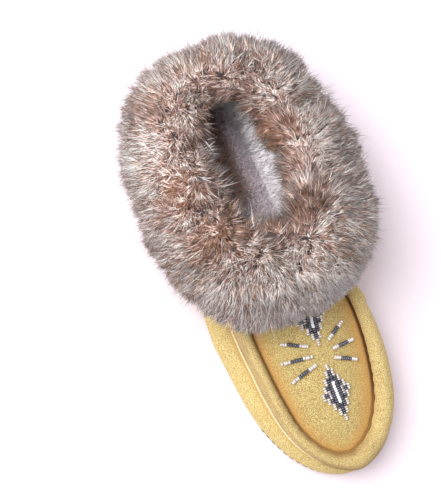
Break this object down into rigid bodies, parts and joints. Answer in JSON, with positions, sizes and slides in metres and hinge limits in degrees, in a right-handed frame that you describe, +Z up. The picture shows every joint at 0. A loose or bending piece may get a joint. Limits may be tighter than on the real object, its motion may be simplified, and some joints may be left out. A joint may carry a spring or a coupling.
{
  "type": "moccasin slipper",
  "caption": "Soft-soled suede moccasin slipper for the right foot: puffed side wall, recessed beaded apron, padded sole, fleece lining and a deep rabbit fur collar.",
  "frame": {"origin": "under the middle of the whole slipper's box, on the floor that the sole stands on", "axes": "+Z up from the floor; the toe points to -Y and the heel to +Y, along the slipper's length; +X is the big toe's side, the medial side of this right slipper"},
  "size_m": [0.14, 0.278, 0.1005],
  "materials": {
    "sole_suede": "golden tan split suede over soft foam, brushed nap",
    "wall_suede": "golden tan split suede, brushed nap, fleece bonded inside",
    "apron_suede": "golden tan split suede, brushed nap, darker at its sewn edge",
    "lining_fleece": "off-white looped and sheared fleece pile",
    "rabbit_fur": "long grey-brown rabbit fur with pale bands, white guard hairs and rusty patches",
    "sewing_thread": "waxed brown polyester thread",
    "seed_beads": "glass seed beads, silver-lined white and opaque gunmetal"
  },
  "bodies": {
    "root": {"sole": "sole_suede", "insole": "lining_fleece", "upper": "wall_suede", "vamp": "apron_suede", "fur_collar": "rabbit_fur"}
  },
  "joints": []
}
